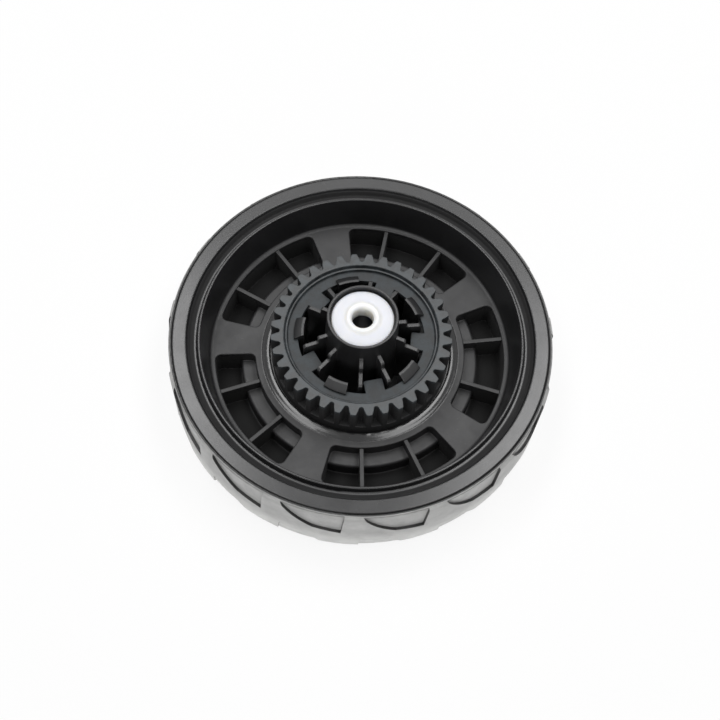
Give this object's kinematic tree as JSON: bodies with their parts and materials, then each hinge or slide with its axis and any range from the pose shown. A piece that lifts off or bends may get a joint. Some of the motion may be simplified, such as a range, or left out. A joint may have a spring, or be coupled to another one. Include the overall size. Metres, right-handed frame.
{
  "type": "lawn mower drive wheel",
  "caption": "Moulded lawn mower drive wheel with a treaded tyre, a webbed dish, a clipped-in spur gear and a raised hub with a flanged bush for the axle.",
  "frame": {"origin": "centre of the base, on the axle line, at the level of the rim's outer edge", "axes": "+Z along the axle line from the outer face towards the gear side; +X through the middle of one window and of one gear tooth"},
  "size_m": [0.2032, 0.2032, 0.063],
  "materials": {
    "moulded_polypropylene": "satin",
    "moulded_rubber": "matte",
    "moulded_nylon": "satin",
    "white_acetal": "satin"
  },
  "bodies": {
    "root": {"wheel_body": "moulded_polypropylene", "tyre": "moulded_rubber", "drive_gear": "moulded_nylon", "inner_bush": "white_acetal", "outer_bush": "white_acetal"}
  },
  "joints": []
}
